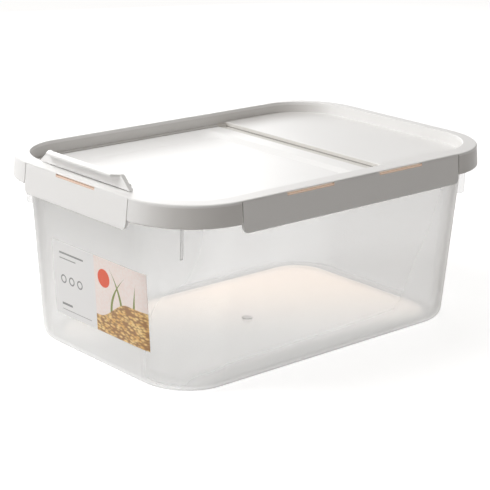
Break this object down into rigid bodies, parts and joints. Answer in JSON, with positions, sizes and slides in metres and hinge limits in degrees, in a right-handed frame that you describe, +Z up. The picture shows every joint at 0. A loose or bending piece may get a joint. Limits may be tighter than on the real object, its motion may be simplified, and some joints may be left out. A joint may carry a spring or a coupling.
{
  "type": "rice bin with flip lid",
  "caption": "Frosted plastic rice bin with a white clip-on lid that has hinged latches all round and a flip door with a stepped pull tab.",
  "frame": {"origin": "middle of the face that the bin stands on", "axes": "+X to the right seen from the front, +Y to the back, +Z up"},
  "size_m": [0.2198, 0.3228, 0.1472],
  "materials": {
    "frosted_plastic": "translucent, fine matte",
    "white_plastic": "smooth",
    "seal_rubber": "soft matte",
    "label_film": "printed film"
  },
  "bodies": {
    "bin": {"tub": "frosted_plastic", "lid_frame": "white_plastic", "lid_seal": "seal_rubber", "label": "label_film"},
    "door": {"flip_door": "white_plastic", "door_seal": "seal_rubber"},
    "latch_front": {"front_latch": "white_plastic"},
    "latch_rear": {"rear_latch": "white_plastic"},
    "latch_left": {"left_latch": "white_plastic"},
    "latch_right": {"right_latch": "white_plastic"}
  },
  "joints": [
    {"name": "door_flip", "type": "hinge", "parent": "bin", "child": "door", "pos_m": [0, 0.046, 0.1228], "axis": [-1, 0, 0], "range_deg": [0, 110]},
    {"name": "front_latch_swing", "type": "hinge", "parent": "bin", "child": "latch_front", "pos_m": [0, -0.1592, 0.13555], "axis": [-1, 0, 0], "range_deg": [0, 110]},
    {"name": "rear_latch_swing", "type": "hinge", "parent": "bin", "child": "latch_rear", "pos_m": [0, 0.1592, 0.13555], "axis": [1, 0, 0], "range_deg": [0, 110]},
    {"name": "left_latch_swing", "type": "hinge", "parent": "bin", "child": "latch_left", "pos_m": [-0.1077, 0, 0.13555], "axis": [0, 1, 0], "range_deg": [0, 110]},
    {"name": "right_latch_swing", "type": "hinge", "parent": "bin", "child": "latch_right", "pos_m": [0.1077, 0, 0.13555], "axis": [0, -1, 0], "range_deg": [0, 110]}
  ]
}
